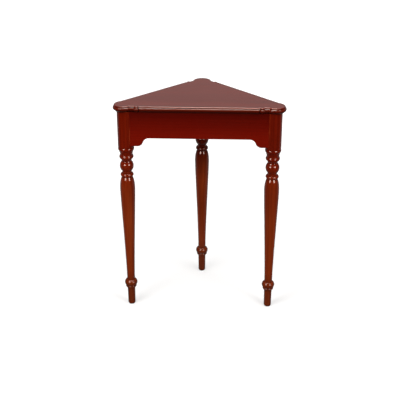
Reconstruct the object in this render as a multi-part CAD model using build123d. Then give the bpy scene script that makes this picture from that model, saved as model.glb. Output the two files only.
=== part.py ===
from build123d import *
from math import cos, radians, sin, sqrt, tan
import os

# A three-legged corner table. The frame stands on the floor with +Z up, the long front edge faces
# -Y, the right-angled corner points to +Y, and the origin is under the middle of the outline.
# All sizes are in millimetres.

# The whole table
height = 711.0
leg_spacing = 457.0
corner_angle = 90.0
fit = 0.05

# The top and its moulded edge
top_thickness = 20.0
ear_radius = 32.0
ear_shift = 4.5
ear_cut_share = 0.1
front_overhang = 31.0
side_overhang = 31.5
notch_depth = 4.5
bead_inset = 3.0
bead_radius = 3.0
quirk_depth = 1.5
quirk_height = 1.3
ovolo_radius = 6.3
ovolo_lower_angle = 50.0
cove_step = 0.8
cove_radius = 4.5

# The lobe in each notch beside an ear, measured along the edge from the leg's axis
lobe_radius = 10.0
lobe_rise = 1.5
lobe_place = 38.0
lobe_lap = 1.0

# Aprons
apron_thickness = 19.0
apron_depth = 85.5
apron_face = 20.0
apron_seat = 14.0
bracket_drop = 26.5
bracket_foot = 23.0
ogee_run = 36.0
apron_arris = 0.8

# The turned leg, from the top down: the post and its collar bead
post_radius = 25.0
post_length = 118.5
post_groove_depth = 1.3
post_groove_height = 2.0
collar_radius = 25.2
collar_height = 12.0
collar_end_depth = 2.6

# The throat under the collar and the upper ring
throat_drop = 10.0
throat_radius = 19.7
throat_height = 5.0
upper_ring_radius = 22.3
upper_ring_height = 13.0
upper_ring_end_radius = 17.9

# The ball between its two necks
upper_neck_drop = 7.5
upper_neck_radius = 14.7
ball_radius = 21.9
ball_height = 34.0
lower_neck_radius = 14.7
lower_neck_height = 7.0

# The lower ring and the groove above the swell
lower_ring_radius = 20.7
lower_ring_height = 12.0
groove_radius = 16.7
groove_height = 1.0

# The long swell and its taper
shoulder_flare = 4.2
shoulder_fall = 7.5
shoulder_handle = 22.0
swell_radius = 23.9
swell_shoulder_height = 41.5
swell_handle = 40.0
ankle_radius = 12.8
ankle_handle = 85.0

# The foot, from the floor up
glide_thickness = 3.0
glide_radius = 10.3
glide_nail_radius = 1.3
glide_nail_length = 15.0
glide_rounding = 1.2
foot_radius = 11.9
foot_top_radius = 12.7
foot_height = 61.0
foot_arris = 1.0
foot_bead_height = 8.5
foot_bead_radius = 17.7
foot_bead_top_radius = 16.4
foot_ring_height = 21.5
foot_ring_radius = 20.8

# Dowels in the apron joints
dowel_radius = 4.0
dowel_in_post = 15.0
dowel_in_apron = 21.0
dowel_end_gap = 1.0
dowel_top_inset = 22.0
dowel_pitch = 64.0
dowel_chamfer = 0.8

# Corner blocks and their fasteners
block_gap = 2.0
block_length = 24.0
block_height = 46.0
bolt_radius = 4.0
bolt_in_post = 22.0
bolt_past_nut = 6.0
washer_radius = 9.0
washer_thickness = 1.6
nut_width = 13.0
nut_height = 6.5
block_screw_wood = 12.0
block_screw_share = 0.62

# Cleats that hold the top
cleat_width = 20.0
cleat_height = 20.0
front_cleat_length = 250.0
side_cleat_length = 150.0
cleat_screw_inset = 30.0
cleat_screw_stagger = 16.0

# Wood screws
screw_radius = 2.0
screw_head_radius = 4.0
screw_head_height = 2.4
screw_tip_height = 4.0
screw_bite = 12.0
screw_slot_width = 1.0
screw_slot_depth = 0.9

# One overrun serves every cut
overrun = 40.0

# How a turned or drilled shape stands on the plane it is drawn on
on_base = (Align.CENTER, Align.CENTER, Align.MIN)

# Places that follow from the sizes above
half_angle = radians(corner_angle) / 2
corner_reach = leg_spacing / 2 / tan(half_angle)
frame_top = height - top_thickness
apron_bottom = frame_top - apron_depth
bracket_bottom = apron_bottom - bracket_drop
front_corner_half = (radians(180) - radians(corner_angle)) / 4
ear_front = ear_radius + ear_shift * sin(front_corner_half)
ear_rear = ear_radius + ear_shift
middle_shift = (ear_front - ear_rear) / 2
leg_places = {
    "left": Vector(-leg_spacing / 2, middle_shift - corner_reach / 2),
    "right": Vector(leg_spacing / 2, middle_shift - corner_reach / 2),
    "rear": Vector(0, middle_shift + corner_reach / 2),
}

# Each side of the triangle, walked with the outside on the right hand: start leg, end leg, overhang
sides = {
    "front": ("left", "right", front_overhang),
    "right": ("right", "rear", side_overhang),
    "left": ("rear", "left", side_overhang),
}

# The ends of the sides that carry a notch and its lobe
notched_ends = [("front", "left"), ("front", "right"), ("right", "rear"), ("left", "rear")]


def side_frame(side):
    """A plane at the start leg's axis: X runs along the side, Y points inwards, Z is up."""
    start, end, _ = sides[side]
    along = (leg_places[end] - leg_places[start]).normalized()
    return Plane(origin=leg_places[start], x_dir=along, z_dir=(0, 0, 1))


def side_length(side):
    start, end, _ = sides[side]
    return (leg_places[end] - leg_places[start]).length


def corner_frame(corner):
    """A plane at a leg's axis: X points into the frame along the bisector, Z is up."""
    place = leg_places[corner]
    others = [leg_places[name] for name in leg_places if name != corner]
    inward = ((others[0] - place).normalized() + (others[1] - place).normalized()).normalized()
    return Plane(origin=place, x_dir=inward, z_dir=(0, 0, 1))


def corner_half(corner):
    return half_angle if corner == "rear" else front_corner_half


# The moulded edge, drawn once for every straight edge, ear and lobe
def edge_moulding(reach):
    """The edge's section, top to bottom: X runs outwards to reach, Y is up from the underside."""
    bead_out = reach - bead_inset
    bead_top = (bead_out - bead_radius, top_thickness)
    bead_end = (bead_out, top_thickness - bead_radius)
    quirk = (bead_out - quirk_depth, top_thickness - bead_radius - quirk_height)
    ovolo_centre = reach - ovolo_radius
    ovolo_level = quirk[1] - sqrt(ovolo_radius**2 - (quirk[0] - ovolo_centre) ** 2)
    lower = radians(ovolo_lower_angle)
    ovolo_end = (ovolo_centre + ovolo_radius * cos(lower), ovolo_level - ovolo_radius * sin(lower))
    cove_start = (ovolo_end[0] - cove_step, cove_radius)
    cove_end = (cove_start[0] - cove_radius, 0)
    return [
        TangentArc(bead_top, bead_end, tangent=(1, 0)),
        Line(bead_end, quirk),
        ThreePointArc(quirk, (reach, ovolo_level), ovolo_end),
        Line(ovolo_end, cove_start),
        TangentArc(cove_start, cove_end, tangent=(-1, 0)),
    ]


def moulding_face(moulding, corners):
    """The face that the moulding and straight lines through the corners shut in."""
    back = Polyline(moulding[-1] @ 1, *corners, moulding[0] @ 0)
    return make_face(Wire([*moulding, *back.edges()]))


def edge_disc(place, radius):
    """A round piece of the top with the moulded edge all round."""
    face = moulding_face(edge_moulding(radius), [(0, 0), (0, top_thickness)])
    return Pos(place.X, place.Y, frame_top) * revolve(Plane.XZ * face, Axis.Z)


def edge_waste(overhang, span):
    """What is cut away along a straight edge: the moulding's hollow side and all that lies past it."""
    moulding = edge_moulding(overhang)
    upper = (moulding[0] @ 0).X
    lower = (moulding[-1] @ 1).X
    past = leg_spacing * 2
    above = top_thickness + overrun
    corners = [(lower, -overrun), (past, -overrun), (past, above), (upper, above)]
    face = moulding_face(moulding, corners)
    return extrude(Plane.YZ * mirror(face, Plane.YZ), span)


def edge_slab():
    """A triangle with the moulded edge on its three sides."""
    blank = leg_spacing * 2
    slab = Box(blank, blank, top_thickness, align=on_base)
    slab = Pos(0, 0, frame_top) * slab
    for side, (_, _, overhang) in sides.items():
        waste = edge_waste(overhang, side_length(side) + blank)
        slab -= side_frame(side).location * Pos(-blank / 2, 0, frame_top) * waste
    return slab


def corner_waste(corner):
    """What lies past a line square to the bisector, which crosses the edges inside the ear."""
    half = corner_half(corner)
    distance = ear_radius * ear_cut_share * cos(half) - side_overhang * sin(half)
    past_centre = (Align.MAX, Align.CENTER, Align.CENTER)
    block = Box(leg_spacing, leg_spacing * 2, top_thickness * 2, align=past_centre)
    return corner_frame(corner).location * Pos(distance, 0, frame_top) * block


def notch_waste(side, corner):
    """What the notch at one end of a side takes off its edge, from inside the lobe outwards."""
    notch_end = lobe_place + lobe_radius - lobe_lap
    span = leg_spacing
    start = notch_end - span if corner == sides[side][0] else side_length(side) - notch_end
    waste = edge_waste(sides[side][2] - notch_depth, span)
    return side_frame(side).location * Pos(start, 0, frame_top) * waste


def ear_place(corner):
    """The ear stands a little further out than its leg."""
    return corner_frame(corner).from_local_coords(Vector(-ear_shift, 0))


def lobe_centre(side, corner):
    inset = lobe_radius - lobe_rise - sides[side][2]
    along = lobe_place if corner == sides[side][0] else side_length(side) - lobe_place
    return side_frame(side).from_local_coords(Vector(along, inset))


def make_top():
    """The board with its corners and notches cut, then the ears and lobes that fill them."""
    top = edge_slab()
    for corner in leg_places:
        top -= corner_waste(corner)
    for side, corner in notched_ends:
        top -= notch_waste(side, corner)
    for side, corner in notched_ends:
        top += edge_disc(lobe_centre(side, corner), lobe_radius)
    for corner in leg_places:
        top += edge_disc(ear_place(corner), ear_radius)
    for side in sides:
        for screw in cleat_screws(side, "top", fit):
            top -= screw
    return top


# The turned legs
def leg_profile():
    """The half section of a leg from its axis: X is the radius, Y the height above the floor."""
    steps = []
    level = frame_top

    def straight(drop, radius):
        nonlocal level
        start = (steps[-1][-1] if steps else (post_radius, frame_top))
        level -= drop
        steps.append((start, (radius, level)))

    def swelling(drop, radius, end_radius):
        nonlocal level
        start = steps[-1][-1]
        middle = (radius, level - drop / 2)
        level -= drop
        steps.append((start, middle, (end_radius, level)))

    straight(post_length, post_radius)
    straight(post_groove_height / 2, post_radius - post_groove_depth)
    straight(post_groove_height / 2, post_radius - post_groove_depth)
    swelling(collar_height, collar_radius, post_radius - collar_end_depth)
    straight(throat_drop, throat_radius)
    straight(throat_height, throat_radius)
    swelling(upper_ring_height, upper_ring_radius, upper_ring_end_radius)
    straight(upper_neck_drop, upper_neck_radius)
    swelling(ball_height, ball_radius, lower_neck_radius)
    straight(lower_neck_height, lower_neck_radius)
    swelling(lower_ring_height, lower_ring_radius, groove_radius)
    straight(groove_height, groove_radius)
    edges = [Line(*step) if len(step) == 2 else ThreePointArc(*step) for step in steps]

    swell_level = level - swell_shoulder_height
    bead_bottom = glide_thickness + foot_height
    ring_bottom = bead_bottom + foot_bead_height
    ring_top = ring_bottom + foot_ring_height
    swell = (swell_radius, swell_level)
    swell_pull = (swell_radius, swell_level - swell_handle)
    ankle = (ankle_radius, ring_top)
    ankle_pull = (ankle_radius, ring_top + ankle_handle)
    shoulder = (groove_radius, level)
    shoulder_pull = (groove_radius + shoulder_flare, level - shoulder_fall)
    swell_push = (swell_radius, swell_level + shoulder_handle)
    edges.append(Bezier(shoulder, shoulder_pull, swell_push, swell))
    edges.append(Bezier(swell, swell_pull, ankle_pull, ankle))

    ring_swell = (foot_ring_radius, (ring_top + ring_bottom) / 2)
    bead_top = (foot_bead_top_radius, ring_bottom)
    bead_swell = (foot_bead_radius, (ring_bottom + bead_bottom) / 2)
    bead_end = (foot_top_radius, bead_bottom)
    edges.append(ThreePointArc(ankle, ring_swell, bead_top))
    edges.append(ThreePointArc(bead_top, bead_swell, bead_end))

    foot_end = (foot_radius, glide_thickness + foot_arris)
    sole = (foot_radius - foot_arris, glide_thickness)
    axis_line = [(0, glide_thickness), (0, frame_top), (post_radius, frame_top)]
    edges += Polyline(bead_end, foot_end, sole, *axis_line).edges()
    return make_face(Wire(edges))


def make_leg(corner):
    leg = revolve(Plane.XZ * leg_profile(), Axis.Z)
    leg = Pos(leg_places[corner].X, leg_places[corner].Y, 0) * leg
    for side in sides:
        if corner in sides[side][:2]:
            leg -= apron_housing(side, corner)
            leg -= Compound(children=dowel_pins(side, corner, fit, dowel_end_gap))
    leg -= hanger_bolt_shape(corner, bolt_radius + fit)
    leg -= glide_shape(corner, fit)
    return leg


def end_frame(side, corner):
    """A plane at a leg's axis whose X runs into the apron and whose Y points to the outside."""
    start, end, _ = sides[side]
    other = end if corner == start else start
    along = (leg_places[other] - leg_places[corner]).normalized()
    outward = -side_frame(side).y_dir
    return Plane(origin=leg_places[corner], x_dir=along, z_dir=along.cross(outward))


def apron_housing(side, corner):
    """The slot in the post that the end of an apron sits in."""
    frame = end_frame(side, corner)
    up = frame.z_dir.Z
    width = apron_thickness + fit * 2
    depth = apron_depth + bracket_drop + fit
    from_start = (Align.MIN, Align.CENTER, Align.CENTER)
    slot = Box(post_radius * 2, width, depth, align=from_start)
    middle = (frame_top + bracket_bottom - fit) / 2
    return frame.location * Pos(apron_seat, apron_face - apron_thickness / 2, middle * up) * slot


# Dowels lie along the apron, in the middle of its thickness
def dowel_levels():
    upper = frame_top - dowel_top_inset
    return upper, upper - dowel_pitch


def dowel_pins(side, corner, clearance, end_gap):
    frame = end_frame(side, corner)
    up = frame.z_dir.Z
    length = dowel_in_post + dowel_in_apron + end_gap * 2
    start = apron_seat - dowel_in_post - end_gap
    pins = []
    for level in dowel_levels():
        pin = Cylinder(dowel_radius + clearance, length, align=on_base)
        if not clearance:
            pin = chamfer(pin.edges().filter_by(GeomType.CIRCLE), dowel_chamfer)
        place = Pos(start, apron_face - apron_thickness / 2, level * up)
        pins.append(frame.location * place * Rot(0, 90, 0) * pin)
    return pins


# Aprons
def make_apron(side):
    frame = side_frame(side)
    length = side_length(side)
    ends = []
    for towards, far in ((1, 0), (-1, length)):
        foot = far + towards * (apron_seat + bracket_foot)
        middle = far + towards * (apron_seat + bracket_foot + ogee_run / 2)
        crown = far + towards * (apron_seat + bracket_foot + ogee_run)
        ends.append((towards, far + towards * apron_seat, foot, middle, crown))
    (_, seat, foot, middle, crown), (_, far_seat, far_foot, far_middle, far_crown) = ends
    half_way = (apron_bottom + bracket_bottom) / 2
    outline = [
        Line((seat, frame_top), (seat, bracket_bottom)),
        Line((seat, bracket_bottom), (foot, bracket_bottom)),
        TangentArc((foot, bracket_bottom), (middle, half_way), tangent=(1, 0)),
        TangentArc((crown, apron_bottom), (middle, half_way), tangent=(-1, 0)),
        Line((crown, apron_bottom), (far_crown, apron_bottom)),
        TangentArc((far_crown, apron_bottom), (far_middle, half_way), tangent=(1, 0)),
        TangentArc((far_foot, bracket_bottom), (far_middle, half_way), tangent=(-1, 0)),
        Line((far_foot, bracket_bottom), (far_seat, bracket_bottom)),
        Line((far_seat, bracket_bottom), (far_seat, frame_top)),
        Line((far_seat, frame_top), (seat, frame_top)),
    ]
    board = extrude(Plane.XZ * make_face(Wire(outline)), apron_thickness)
    lower = [edge for edge in board.edges() if is_lower_outer(edge)]
    board = chamfer(lower, apron_arris)
    board = frame.location * Pos(0, apron_thickness - apron_face, 0) * board
    for corner in sides[side][:2]:
        board -= Compound(children=dowel_pins(side, corner, fit, dowel_end_gap))
        board -= block_screw_shape(side, corner, fit)
    for screw in cleat_screws(side, "apron", fit):
        board -= screw
    return board


def is_lower_outer(edge):
    """Picks the front arris of the apron's lower edge, from bracket foot to bracket foot."""
    on_face = all(abs(vertex.Y + apron_thickness) < fit for vertex in edge.vertices())
    return on_face and edge.center().Z < apron_bottom + fit


# Wood screws, drawn along Z with the head's top at zero and the tip below
def screw_solid(length, clearance):
    shank = screw_radius + clearance
    head = screw_head_radius + clearance
    tip = length + clearance
    shank_ends = [(shank, -screw_head_height), (shank, screw_tip_height - tip)]
    points = [(0, 0), (head, 0), *shank_ends, (0, -tip)]
    screw = revolve(Plane.XZ * make_face(Polyline(points, close=True)), Axis.Z)
    if clearance:
        return screw + Cylinder(head, overrun, align=on_base)
    slot = Box(screw_head_radius * 2, screw_slot_width, screw_slot_depth * 2)
    return screw - slot


# Corner blocks
def make_block(corner):
    half = corner_half(corner)
    near = post_radius + block_gap
    far = near + block_length
    lining = (apron_face - apron_thickness) / cos(half)
    near_half = near * tan(half) + lining
    far_half = far * tan(half) + lining
    points = [(near, -near_half), (far, -far_half), (far, far_half), (near, near_half)]
    block = extrude(make_face(Polyline(points, close=True)), block_height)
    block = corner_frame(corner).location * Pos(0, 0, block_level() - block_height / 2) * block
    block -= hanger_bolt_shape(corner, bolt_radius + fit)
    for side in sides:
        if corner in sides[side][:2]:
            block -= block_screw_shape(side, corner, fit)
    return block


def block_level():
    return sum(dowel_levels()) / 2


def block_screw_shape(side, corner, clearance):
    """A screw square to the apron, from the back of the corner block."""
    half = corner_half(corner)
    along = (post_radius + block_gap + block_length * block_screw_share) / cos(half)
    out = apron_face - apron_thickness - block_screw_wood
    rise = block_height / 4 if corner == sides[side][0] else -block_height / 4
    frame = end_frame(side, corner)
    spot = frame.origin + frame.x_dir * along + frame.y_dir * out
    spot += Vector(0, 0, block_level() + rise)
    screw = screw_solid(block_screw_wood + screw_bite, clearance)
    return Plane(origin=spot, x_dir=(0, 0, 1), z_dir=-frame.y_dir).location * screw


# Hanger bolts, washers and nuts lie along each corner's bisector
def bolt_frame(corner):
    frame = corner_frame(corner)
    origin = frame.origin + Vector(0, 0, block_level())
    return Plane(origin=origin, x_dir=(0, 0, 1), z_dir=frame.x_dir)


def block_back():
    return post_radius + block_gap + block_length


def hanger_bolt_shape(corner, radius):
    start = post_radius - bolt_in_post
    end = block_back() + washer_thickness + nut_height + bolt_past_nut
    shank = Cylinder(radius, end - start, align=on_base)
    return bolt_frame(corner).location * Pos(0, 0, start) * shank


def washer_shape(corner):
    ring = Cylinder(washer_radius, washer_thickness, align=on_base)
    ring -= Cylinder(bolt_radius + fit, washer_thickness * 2)
    return bolt_frame(corner).location * Pos(0, 0, block_back()) * ring


def nut_shape(corner):
    flats = RegularPolygon(nut_width / 2, 6, major_radius=False)
    nut = extrude(flats - Circle(bolt_radius + fit), nut_height)
    return bolt_frame(corner).location * Pos(0, 0, block_back() + washer_thickness) * nut


# Cleats under the top, along the inner face of each apron
def cleat_length(side):
    return front_cleat_length if side == "front" else side_cleat_length


def cleat_middle(side):
    """A plane at the middle of the cleat's top edge on the apron's inner face, Y pointing inwards."""
    frame = side_frame(side)
    middle = Vector(side_length(side) / 2, apron_thickness - apron_face, frame_top)
    return Plane(origin=frame.from_local_coords(middle), x_dir=frame.x_dir, z_dir=(0, 0, 1))


def cleat_screws(side, target, clearance):
    frame = cleat_middle(side)
    reach = cleat_length(side) / 2 - cleat_screw_inset
    screws = []
    for end in (-1, 1):
        if target == "top":
            wood = cleat_height
            spot = Vector(end * reach, cleat_width / 2, -cleat_height)
            pose = Plane(origin=frame.from_local_coords(spot), x_dir=frame.x_dir, z_dir=(0, 0, -1))
        else:
            wood = cleat_width
            spot = Vector(end * (reach - cleat_screw_stagger), cleat_width, -cleat_height / 2)
            pose = Plane(origin=frame.from_local_coords(spot), x_dir=frame.x_dir, z_dir=frame.y_dir)
        screws.append(pose.location * screw_solid(wood + screw_bite, clearance))
    return screws


def make_cleat(side):
    under_top = (Align.CENTER, Align.MIN, Align.MAX)
    strip = Box(cleat_length(side), cleat_width, cleat_height, align=under_top)
    strip = cleat_middle(side).location * strip
    for target in ("top", "apron"):
        for screw in cleat_screws(side, target, fit):
            strip -= screw
    return strip


# Glides nailed under the feet
def glide_shape(corner, clearance):
    length = glide_thickness + glide_nail_length + clearance
    nail = Cylinder(glide_nail_radius + clearance, length, align=on_base)
    place = Pos(leg_places[corner].X, leg_places[corner].Y, 0)
    if clearance:
        return place * nail
    disc = Cylinder(glide_radius, glide_thickness, align=on_base)
    disc = fillet(disc.edges().group_by(Axis.Z)[0], glide_rounding)
    return place * (disc + nail)


def write(name, shape):
    export_step(shape, os.path.join("parts", name + ".step"))


os.makedirs("parts", exist_ok=True)

write("top", make_top())

for corner in leg_places:
    touching = [side for side in sides if corner in sides[side][:2]]
    write("leg_" + corner, make_leg(corner))
    write("corner_block_" + corner, make_block(corner))
    write("hanger_bolt_" + corner, hanger_bolt_shape(corner, bolt_radius))
    write("washer_" + corner, washer_shape(corner))
    write("nut_" + corner, nut_shape(corner))
    write("glide_" + corner, glide_shape(corner, 0))
    pins = [pin for side in touching for pin in dowel_pins(side, corner, 0, 0)]
    write("dowels_" + corner, Compound(children=pins))
    screws = [block_screw_shape(side, corner, 0) for side in touching]
    write("block_screws_" + corner, Compound(children=screws))

for side in sides:
    write("apron_" + side, make_apron(side))
    write("cleat_" + side, make_cleat(side))

for target in ("top", "apron"):
    screws = [screw for side in sides for screw in cleat_screws(side, target, 0)]
    write("cleat_screws_to_" + target, Compound(children=screws))
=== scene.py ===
import math

import bpy
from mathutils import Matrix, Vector

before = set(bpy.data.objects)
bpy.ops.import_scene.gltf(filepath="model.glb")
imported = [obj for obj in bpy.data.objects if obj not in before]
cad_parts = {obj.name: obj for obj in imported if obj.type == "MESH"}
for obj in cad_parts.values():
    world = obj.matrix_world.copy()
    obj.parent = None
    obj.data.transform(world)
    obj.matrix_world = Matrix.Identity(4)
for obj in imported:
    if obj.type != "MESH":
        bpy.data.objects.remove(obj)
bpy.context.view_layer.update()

# The photograph's camera: where it stands, how it is turned in degrees, and its focal length and
# the row of its optical centre in picture points
camera_place = (0.0963, -2.6412, 1.6140)
camera_turn = 2.143
camera_dip = 25.212
focal_length = 879.9
picture_width = 400
centre_row = 190.0
sensor_width = 36.0

corners = ("left", "right", "rear")
up = (0, 0, 1)
down = (0, 0, -1)
backwards = (0, 1, 0)

# Turns in degrees that bring the grain, which runs along X, into the piece's own direction. Those
# of the side aprons are turns about Z.
along_front = (0, 0, 0)
upright = (0, 90, 0)
side_turns = {"left": 45.0, "right": -45.0}


class Nodes:
    """Short calls that add and link the nodes of a material or of the world."""

    def __init__(self, tree):
        self.tree = tree
        self.tree.nodes.clear()

    def add(self, kind, **settings):
        node = self.tree.nodes.new(kind)
        for key, value in settings.items():
            setattr(node, key, value)
        return node

    def put(self, socket, value):
        """Sets a socket to a value, or links it to another node's output."""
        if isinstance(value, bpy.types.NodeSocket):
            self.tree.links.new(value, socket)
        else:
            socket.default_value = value

    def compute(self, operation, first, second=0.0, third=0.0):
        node = self.add("ShaderNodeMath", operation=operation)
        for socket, value in zip(node.inputs, (first, second, third)):
            self.put(socket, value)
        return node.outputs["Value"]

    def spread(self, value, low, high, to_low, to_high):
        """Maps the range low to high onto another range, and holds it there."""
        node = self.add("ShaderNodeMapRange")
        names = ("From Min", "From Max", "To Min", "To Max")
        for name, number in zip(names, (low, high, to_low, to_high)):
            node.inputs[name].default_value = number
        self.put(node.inputs["Value"], value)
        return node.outputs["Result"]

    def axis_part(self, vector, axis):
        split = self.add("ShaderNodeSeparateXYZ")
        self.put(split.inputs[0], vector)
        return split.outputs[axis]


class Finish(Nodes):
    """A material in the making."""

    def __init__(self, name):
        self.material = bpy.data.materials.new(name)
        self.material.use_nodes = True
        super().__init__(self.material.node_tree)
        self.surface = self.add("ShaderNodeBsdfPrincipled")
        output = self.add("ShaderNodeOutputMaterial")
        self.tree.links.new(self.surface.outputs["BSDF"], output.inputs["Surface"])
        self.place = self.add("ShaderNodeTexCoord").outputs["Object"]

    def set(self, **values):
        """Sets sockets of the surface by name, with underscores for spaces."""
        for name, value in values.items():
            self.put(self.surface.inputs[name.replace("_", " ")], value)

    def mapped(self, turn=along_front, stretch=(1, 1, 1), shift=(0, 0, 0)):
        """The place on the object, turned in degrees and then stretched."""
        turned = self.add("ShaderNodeMapping", vector_type="TEXTURE")
        self.put(turned.inputs["Vector"], self.place)
        turned.inputs["Rotation"].default_value = [math.radians(angle) for angle in turn]
        scaled = self.add("ShaderNodeMapping")
        self.put(scaled.inputs["Vector"], turned.outputs["Vector"])
        scaled.inputs["Scale"].default_value = stretch
        scaled.inputs["Location"].default_value = shift
        return scaled.outputs["Vector"]

    def noise(self, vector, scale=1.0, detail=3.0, roughness=0.5, distortion=0.0):
        node = self.add("ShaderNodeTexNoise")
        self.put(node.inputs["Vector"], vector)
        node.inputs["Scale"].default_value = scale
        node.inputs["Detail"].default_value = detail
        node.inputs["Roughness"].default_value = roughness
        node.inputs["Distortion"].default_value = distortion
        return node.outputs["Fac"]

    def rings(self, vector, scale, distortion, detail_scale):
        node = self.add("ShaderNodeTexWave", wave_type="RINGS", rings_direction="X")
        self.put(node.inputs["Vector"], vector)
        node.inputs["Scale"].default_value = scale
        node.inputs["Distortion"].default_value = distortion
        node.inputs["Detail"].default_value = 2.0
        node.inputs["Detail Scale"].default_value = detail_scale
        return node.outputs["Fac"]

    def ramp(self, value, stops):
        """A colour for each value, from stops of place and colour."""
        node = self.add("ShaderNodeValToRGB")
        self.put(node.inputs["Fac"], value)
        first, last = node.color_ramp.elements
        first.position, first.color = stops[0][0], (*stops[0][1], 1)
        last.position, last.color = stops[-1][0], (*stops[-1][1], 1)
        for place, colour in stops[1:-1]:
            node.color_ramp.elements.new(place).color = (*colour, 1)
        return node.outputs["Color"]

    def mixed(self, share, first, second, blend="MIX"):
        node = self.add("ShaderNodeMix", data_type="RGBA", blend_type=blend)
        # A colour mix has its share at socket 0 and its two colours at sockets 6 and 7
        self.put(node.inputs[0], share)
        self.put(node.inputs[6], first)
        self.put(node.inputs[7], second)
        return node.outputs[2]

    def hollows(self, reach, inside=False):
        """How open a place is: 1 on a plain face, less in a hollow, or near an edge from the inside."""
        node = self.add("ShaderNodeAmbientOcclusion", inside=inside, samples=8, only_local=inside)
        node.inputs["Distance"].default_value = reach
        return node.outputs["AO"]

    def height(self, start, end):
        """0 at the start height, 1 at the end height, in metres over the floor."""
        return self.spread(self.axis_part(self.place, "Z"), start, end, 0.0, 1.0)

    def facing(self, direction, low=0.7, high=0.9):
        """1 where the surface faces that way, 0 where it faces away or to the side."""
        normal = self.add("ShaderNodeNewGeometry").outputs["True Normal"]
        node = self.add("ShaderNodeVectorMath", operation="DOT_PRODUCT")
        self.put(node.inputs[0], normal)
        node.inputs[1].default_value = direction
        return self.spread(node.outputs["Value"], low, high, 0.0, 1.0)

    def slanted(self, low, high):
        """0 where the surface is seen square on, 1 where it is seen at a slant."""
        node = self.add("ShaderNodeLayerWeight")
        node.inputs["Blend"].default_value = 0.5
        return self.spread(node.outputs["Facing"], low, high, 0.0, 1.0)

    def bumped(self, *layers):
        """Bump from pairs of height and depth in metres, one on top of the other."""
        normal = None
        for height, depth in layers:
            node = self.add("ShaderNodeBump")
            node.inputs["Strength"].default_value = 1.0
            node.inputs["Distance"].default_value = depth
            self.put(node.inputs["Height"], height)
            if normal:
                self.put(node.inputs["Normal"], normal)
            normal = node.outputs["Normal"]
        self.set(Normal=normal, Coat_Normal=normal)


# How often the features of the lacquered wood come in a metre, along the grain and twice across it
streak_density = (2.2, 55, 55)
cloud_density = (1.5, 13, 13)
ring_density = (0.35, 6, 6)
pore_density = (110, 1900, 1900)
rubbing_density = (20, 60, 60)
haze_density = (9, 9, 9)
ripple_density = 260.0
# How deep they are in the surface
streak_relief = 0.00003
pore_relief = 0.00001
ripple_relief = 0.000008
# How the lacquer shines
coat_weight = 0.5
specular_level = 0.45
lacquer = {
    "IOR": 1.5,
    "Specular_Tint": (1.0, 0.62, 0.48, 1),
    "Coat_Roughness": 0.06,
    "Coat_IOR": 1.55,
}
# What is left of the coat and of the specular level on the dull ledges of the turnings
ledge_coat = 0.05
ledge_specular = 0.05
# The share of its shine that the level face of the top has when it is seen square on
level_shine = 0.06
# The hidden sides' stain, its roughness, and how far the wood's clouds show in it
raw_stops = [(0.3, (0.10, 0.035, 0.02)), (0.7, (0.2, 0.085, 0.045))]
raw_roughness = 0.75
raw_clouds = 0.6
# What the darkest tone is multiplied by in the pores and in the glaze with its painted shade
pore_shade = 0.35
glaze_and_painted_shade_factor = 0.22
# How wide the rubbed arrises are
arris_reach = 0.0011


def shaded(tone, factor, more=0.0):
    return [min(1.0, value * factor + more) for value in tone] + [1]


def glazed_shaded_and_worn(wood, colour, turn, shift, dark, light, glaze_and_shade_reach):
    """The colour with dark glaze and painted shade in its hollows and between parts, and with its
    arrises rubbed paler.
    """
    # The glaze is partly painted shade: the occlusion darkens hollows and places next to other parts,
    # where shade falls
    glaze_and_shade = wood.spread(wood.hollows(glaze_and_shade_reach), 0.35, 0.95, 0.85, 0.0)
    colour = wood.mixed(glaze_and_shade, colour, shaded(dark, glaze_and_painted_shade_factor))
    patchy = wood.noise(wood.mapped(turn, rubbing_density, shift))
    edges = wood.spread(wood.hollows(arris_reach, inside=True), 0.45, 0.9, 1.0, 0.0)
    rubbed = wood.compute("MULTIPLY", edges, wood.spread(patchy, 0.42, 0.66, 0.0, 0.45))
    return wood.mixed(rubbed, colour, shaded(light, 1.9, 0.004))


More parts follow.
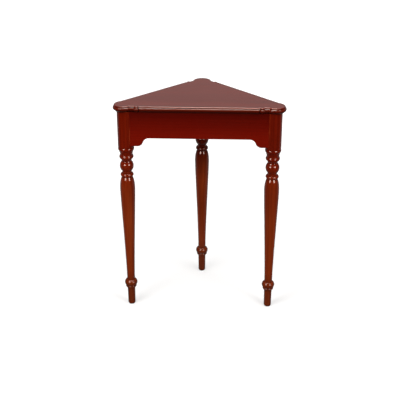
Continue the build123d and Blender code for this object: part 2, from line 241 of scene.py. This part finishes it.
def lacquered(
    name,
    turn,
    tones,
    contrast,
    mean_roughness,
    raw_side=None,
    shift=(0, 0, 0),
    stains_and_shades=(),
    glaze_and_shade_reach=0.006,
):
    """Stained and lacquered mahogany whose grain runs along X before the turn.

    The lacquer is a little smoother or duller than the mean roughness from place to place. Each
    stain or painted shade is two heights and a tint that comes in from the first height to the
    second. The raw side is the direction that a hidden side without lacquer faces. The turnings
    have none.
    """
    dark, middle, light = tones
    wood = Finish(name)
    streaks = wood.noise(
        wood.mapped(turn, streak_density, shift), detail=5.0, roughness=0.62, distortion=0.6
    )
    broad = wood.noise(wood.mapped(turn, cloud_density, shift), detail=2.0, distortion=0.8)
    growth = wood.rings(
        wood.mapped(turn, ring_density, shift), scale=5.2, distortion=5.5, detail_scale=1.6
    )
    pores = wood.noise(wood.mapped(turn, pore_density, shift), detail=2.0)

    grain = wood.ramp(streaks, [(0.30, dark), (0.52, middle), (0.72, light)])
    colour = wood.mixed(contrast, (*middle, 1), grain)
    figure = wood.ramp(growth, [(0.15, (0.62, 0.55, 0.5)), (0.65, (1.0, 1.0, 1.0))])
    colour = wood.mixed(contrast * 0.7, colour, figure, "MULTIPLY")
    clouds = wood.ramp(broad, [(0.3, (0.72, 0.66, 0.62)), (0.7, (1.2, 1.22, 1.25))])
    colour = wood.mixed(contrast, colour, clouds, "MULTIPLY")
    # Real stains, and painted shade under the top, under the bead and on the rear leg's upper part
    for start, end, tint in stains_and_shades:
        deepening = wood.mixed(wood.height(start, end), (1, 1, 1, 1), (*tint, 1))
        colour = wood.mixed(1.0, colour, deepening, "MULTIPLY")
    pore_marks = wood.spread(pores, 0.60, 0.70, 0.0, 0.4)
    colour = wood.mixed(pore_marks, colour, shaded(dark, pore_shade))
    colour = glazed_shaded_and_worn(wood, colour, turn, shift, dark, light, glaze_and_shade_reach)

    haze = wood.noise(wood.mapped(turn, haze_density, shift), detail=4.0, roughness=0.6)
    roughness = wood.spread(haze, 0.3, 0.7, mean_roughness - 0.04, mean_roughness + 0.06)
    if raw_side:
        # The hidden side has stain but no lacquer
        raw = wood.facing(raw_side)
        stained = wood.mixed(raw_clouds, wood.ramp(streaks, raw_stops), clouds, "MULTIPLY")
        colour = wood.mixed(raw, colour, stained)
        roughness = wood.compute("MAXIMUM", roughness, wood.compute("MULTIPLY", raw, raw_roughness))
        coat = wood.compute("MULTIPLY_ADD", raw, -coat_weight, coat_weight)
        specular = specular_level
    else:
        # Old wax lies dull on the ledges of the turnings
        dull = wood.facing(up, 0.78, 0.88)
        coat = wood.compute("MULTIPLY_ADD", dull, ledge_coat - coat_weight, coat_weight)
        specular = wood.compute("MULTIPLY_ADD", dull, ledge_specular - specular_level, specular_level)
    if raw_side == down:
        # Seen from straight above, the level face is satin and doesn't mirror the lamp over it
        slanted = wood.slanted(0.06, 0.25)
        square_on = wood.compute("MULTIPLY_ADD", slanted, level_shine - 1, 1 - level_shine)
        satin = wood.compute("MULTIPLY", square_on, wood.facing(up, 0.99, 0.999))
        shine = wood.compute("SUBTRACT", 1.0, satin)
        coat = wood.compute("MULTIPLY", coat, shine)
        specular = wood.compute("MULTIPLY", shine, specular_level)
    wood.set(Base_Color=colour, Roughness=roughness, **lacquer)
    wood.set(Coat_Weight=coat, Specular_IOR_Level=specular)
    ripple = wood.noise(wood.mapped(), scale=ripple_density, detail=2.0)
    wood.bumped((streaks, streak_relief), (pores, pore_relief), (ripple, ripple_relief))
    return wood.material


# The woods, metals and plastic that hardly show
def bare_wood(name, turn, pale, deep):
    wood = Finish(name)
    grain = wood.noise(wood.mapped(turn, (3, 90, 90)), detail=5.0, roughness=0.6, distortion=0.5)
    fibres = wood.noise(wood.mapped(turn, (60, 1500, 1500)), detail=2.0)
    colour = wood.ramp(grain, [(0.3, deep), (0.7, pale)])
    # Darker in hollows and close to other parts
    darkening_in_hollows = wood.spread(wood.hollows(0.004), 0.3, 0.95, 0.45, 0.0)
    colour = wood.mixed(darkening_in_hollows, colour, (0.07, 0.035, 0.018, 1))
    roughness = wood.spread(fibres, 0.3, 0.7, 0.55, 0.8)
    wood.set(Base_Color=colour, Roughness=roughness, Specular_IOR_Level=0.3)
    wood.bumped((grain, 0.00006), (fibres, 0.00003))
    return wood.material


def plated_steel(name, pale, deep, roughness):
    steel = Finish(name)
    spangle = steel.noise(steel.mapped(), scale=420.0)
    scuffs = steel.noise(steel.mapped(stretch=(300, 300, 2500)))
    colour = steel.ramp(spangle, [(0.35, deep), (0.65, pale)])
    # Darker in hollows and close to other parts
    steel_darkening_in_hollows = steel.spread(steel.hollows(0.002), 0.3, 0.9, 0.6, 0.0)
    colour = steel.mixed(steel_darkening_in_hollows, colour, (0.04, 0.03, 0.025, 1))
    scuffed = steel.spread(scuffs, 0.3, 0.7, roughness - 0.08, roughness + 0.12)
    steel.set(Base_Color=colour, Metallic=1.0, Roughness=scuffed)
    steel.bumped((scuffs, 0.00001))
    return steel.material


def nylon(name):
    plastic = Finish(name)
    speckle = plastic.noise(plastic.mapped(), scale=900.0)
    wear = plastic.noise(plastic.mapped(), scale=70.0, detail=4.0)
    colour = plastic.ramp(wear, [(0.35, (0.012, 0.009, 0.008)), (0.7, (0.03, 0.022, 0.018))])
    plastic.set(Base_Color=colour, Roughness=plastic.spread(wear, 0.3, 0.7, 0.4, 0.62))
    plastic.bumped((speckle, 0.00002))
    return plastic.material


# The dark, middle and light tones of each lacquered wood
apron_red = ((0.088, 0.0017, 0.0001), (0.130, 0.0032, 0.0002), (0.166, 0.0064, 0.0005))
leg_red = ((0.125, 0.012, 0.002), (0.195, 0.025, 0.004), (0.265, 0.044, 0.009))
top_red = ((0.106, 0.006, 0.001), (0.157, 0.0105, 0.002), (0.21, 0.017, 0.004))

# The stains and painted shades that deepen the tones: from no tint at the first height to the whole
# tint at the second
front_stain = (0.32, 0.57, (0.62, 0.22, 0.12))
# Painted shade: the rear leg's upper part is darkened where the apron and the top shade it
rear_painted_shade = (0.36, 0.47, (0.34, 0.2, 0.16))
foot_stain = (0.13, 0.09, (0.68, 0.72, 0.68))
# Painted shade: the aprons are darkened up under the overhanging top
painted_shade_under_top = (0.61, 0.69, (0.52, 0.44, 0.44))
# Painted shade: the underside of the top's moulding is darkened
painted_shade_under_bead = (0.704, 0.697, (0.6, 0.4, 0.4))

# The pale and the deep colour of the bare woods and of the platings
hardwood = ((0.52, 0.36, 0.21), (0.34, 0.21, 0.11))
beech = ((0.6, 0.44, 0.27), (0.45, 0.3, 0.17))
zinc = ((0.62, 0.63, 0.64), (0.42, 0.43, 0.45))
yellow_zinc = ((0.68, 0.52, 0.25), (0.5, 0.36, 0.16))


def lacquer_finishes():
    """The finishes of the top, the legs and the aprons. The shifts give each piece its own grain."""
    top_look = {"contrast": 0.4, "mean_roughness": 0.14, "glaze_and_shade_reach": 0.011}
    leg_look = {"contrast": 0.5, "mean_roughness": 0.10}
    apron_look = {"contrast": 0.22, "mean_roughness": 0.16, "stains_and_shades": [painted_shade_under_top]}
    finishes = {
        "top": lacquered(
            "lacquered_top", along_front, top_red, raw_side=down, stains_and_shades=[painted_shade_under_bead], **top_look
        ),
        "apron_front": lacquered(
            "lacquered_apron_front",
            along_front,
            apron_red,
            raw_side=backwards,
            shift=(0.5, 0.3, 0.1),
            **apron_look,
        ),
    }
    for number, corner in enumerate(corners):
        away = (0.37 * number, 0.21 * number, 0.13 * number)
        stains_and_shades = [rear_painted_shade if corner == "rear" else front_stain, foot_stain]
        name = f"leg_{corner}"
        finishes[name] = lacquered(
            f"lacquered_{name}", upright, leg_red, shift=away, stains_and_shades=stains_and_shades, **leg_look
        )
    for number, (side, turn) in enumerate(side_turns.items()):
        angle = math.radians(turn)
        inwards = (math.sin(angle), -math.cos(angle), 0)
        away = (0.9 + number, 0.4, 0.7)
        name = f"apron_{side}"
        finishes[name] = lacquered(
            f"lacquered_{name}", (0, 0, turn), apron_red, raw_side=inwards, shift=away, **apron_look
        )
    return finishes


def plain_finishes():
    """The finish of the blocks, cleats, dowels, bolts, screws and glides."""
    finishes = {"cleat_front": bare_wood("bare_cleat_wood_front", along_front, *hardwood)}
    for side, turn in side_turns.items():
        finishes[f"cleat_{side}"] = bare_wood(f"bare_cleat_wood_{side}", (0, 0, turn), *hardwood)
    block_wood = bare_wood("bare_block_wood", upright, *hardwood)
    dowel_wood = bare_wood("bare_dowel_wood", along_front, *beech)
    bolt_steel = plated_steel("zinc_plated_steel", *zinc, 0.32)
    screw_steel = plated_steel("yellow_zinc_steel", *yellow_zinc, 0.3)
    dark_nylon = nylon("dark_nylon")
    for corner in corners:
        finishes[f"corner_block_{corner}"] = block_wood
        finishes[f"dowels_{corner}"] = dowel_wood
        finishes[f"block_screws_{corner}"] = screw_steel
        finishes[f"glide_{corner}"] = dark_nylon
        for fastener in ("hanger_bolt", "washer", "nut"):
            finishes[f"{fastener}_{corner}"] = bolt_steel
    finishes["cleat_screws_to_top"] = screw_steel
    finishes["cleat_screws_to_apron"] = screw_steel
    return finishes


def dress():
    """Gives every CAD node its finish."""
    for node, finish in {**lacquer_finishes(), **plain_finishes()}.items():
        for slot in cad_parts[node].material_slots:
            slot.material = finish


# The studio
def camera():
    data = bpy.data.cameras.new("camera")
    data.sensor_width = sensor_width
    data.lens = focal_length / picture_width * sensor_width
    data.shift_y = (centre_row - picture_width / 2) / picture_width
    made = bpy.data.objects.new("camera", data)
    made.location = camera_place
    made.rotation_euler = (math.radians(90 - camera_dip), 0, math.radians(camera_turn))
    bpy.context.scene.collection.objects.link(made)
    bpy.context.scene.camera = made


lamp_colour = (1.0, 0.97, 0.94)
table_middle = (0, -0.1, 0.5)
top_middle = (0, 0.1, 0.7)


def softbox(name, place, target, size, radiance, lights=True, off_top=False):
    """A soft lamp that faces its target. Without lights it only shows in the lacquer.

    One that is off the top neither lights the top nor shows in it, because the level face would
    mirror it as a white patch when seen from behind.
    """
    data = bpy.data.lights.new(name, "AREA")
    data.shape = "RECTANGLE"
    data.size, data.size_y = size
    data.energy = radiance * math.pi * data.size * data.size_y
    data.color = lamp_colour
    lamp = bpy.data.objects.new(name, data)
    lamp.visible_diffuse = lights
    lamp.location = place
    lamp.rotation_euler = (Vector(place) - Vector(target)).to_track_quat("Z", "Y").to_euler()
    bpy.context.scene.collection.objects.link(lamp)
    if off_top:
        unlit = bpy.data.collections.new(f"unlit_by_{name}")
        unlit.objects.link(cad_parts["top"])
        unlit.collection_objects[0].light_linking.link_state = "EXCLUDE"
        lamp.light_linking.receiver_collection = unlit


def lamps():
    """Two lamps before the table, two high ones for the smaller highlights, and one over the top."""
    softbox("softbox_left", (-0.85, -1.30, 1.0), table_middle, (0.65, 0.5), 11, off_top=True)
    softbox("softbox_right", (1.45, -1.57, 1.12), table_middle, (0.86, 0.7), 11, off_top=True)
    softbox("upper_softbox_left", (-1.79, -1.45, 3.82), table_middle, (1.2, 1.0), 14)
    softbox("upper_softbox_right", (1.96, -1.18, 3.82), table_middle, (1.2, 1.0), 9)
    softbox("overhead_softbox", (0, 0.1, 2.5), top_middle, (0.85, 1.2), 18, lights=False)


def floor():
    """A floor that looks white, takes a pale shadow and shows dark in the lacquer's reflections."""
    rim = 64
    radius = 40.0
    turns = [2 * math.pi * step / rim for step in range(rim)]
    points = [(radius * math.cos(turn), radius * math.sin(turn), 0) for turn in turns]
    data = bpy.data.meshes.new("floor")
    data.from_pydata(points, [], [range(rim)])
    made = bpy.data.objects.new("floor", data)
    bpy.context.scene.collection.objects.link(made)

    pale = Finish("pale_floor")
    path = pale.add("ShaderNodeLightPath")
    seen = path.outputs["Is Camera Ray"]
    depth = pale.axis_part(pale.place, "Y")
    # Greys of the floor as it throws light back, as it is seen, and as the lacquer mirrors it
    thrown = pale.ramp(pale.noise(pale.mapped(), scale=3.0), [(0.3, (0.19,) * 3), (0.7, (0.21,) * 3)])
    shown = (0.58, 0.58, 0.58, 1)
    mirrored = pale.spread(depth, -0.3, 0.5, 0.012, 0.2)
    colour = pale.mixed(seen, thrown, shown)
    colour = pale.mixed(path.outputs["Is Glossy Ray"], colour, mirrored)
    # The glow makes the seen floor white, more so towards the back, where less light falls
    glow = pale.spread(depth, -0.6, 1.6, 0.195, 0.67)
    pale.set(Base_Color=colour, Roughness=0.9, Specular_IOR_Level=0.0)
    pale.set(Emission_Color=(1, 1, 1, 1), Emission_Strength=pale.compute("MULTIPLY", seen, glow))
    data.materials.append(pale.material)


def surroundings():
    """Soft light from everywhere, a white backdrop, and a studio whose front is dark in reflections."""
    world = bpy.data.worlds.new("world")
    bpy.context.scene.world = world
    world.use_nodes = True
    studio = Nodes(world.node_tree)
    path = studio.add("ShaderNodeLightPath")
    direction = studio.add("ShaderNodeTexCoord").outputs["Generated"]
    backward = studio.axis_part(direction, "Y")
    upward = studio.axis_part(direction, "Z")

    def background(strength):
        node = studio.add("ShaderNodeBackground")
        node.inputs["Color"].default_value = (1, 1, 1, 1)
        studio.put(node.inputs["Strength"], strength)
        return node.outputs["Background"]

    def choice(share, first, second):
        node = studio.add("ShaderNodeMixShader")
        for socket, value in zip(node.inputs, (share, first, second)):
            studio.put(socket, value)
        return node.outputs["Shader"]

    # In the lacquer's reflections only the back wall is bright, and it fades towards the floor
    wall = studio.spread(backward, 0.3, 0.8, 0.03, 0.365)
    fade = studio.spread(upward, 0.05, 0.35, 0.3, 1.0)
    mirrored = background(studio.compute("MULTIPLY", wall, fade))
    soft = background(studio.spread(upward, 0.0, 1.0, 0.22, 1.0))
    light = choice(path.outputs["Is Glossy Ray"], soft, mirrored)
    shown = choice(path.outputs["Is Camera Ray"], light, background(1.0))
    output = studio.add("ShaderNodeOutputWorld")
    studio.put(output.inputs["Surface"], shown)


dress()
camera()
floor()
surroundings()
lamps()
bpy.context.scene.view_settings.view_transform = "Standard"
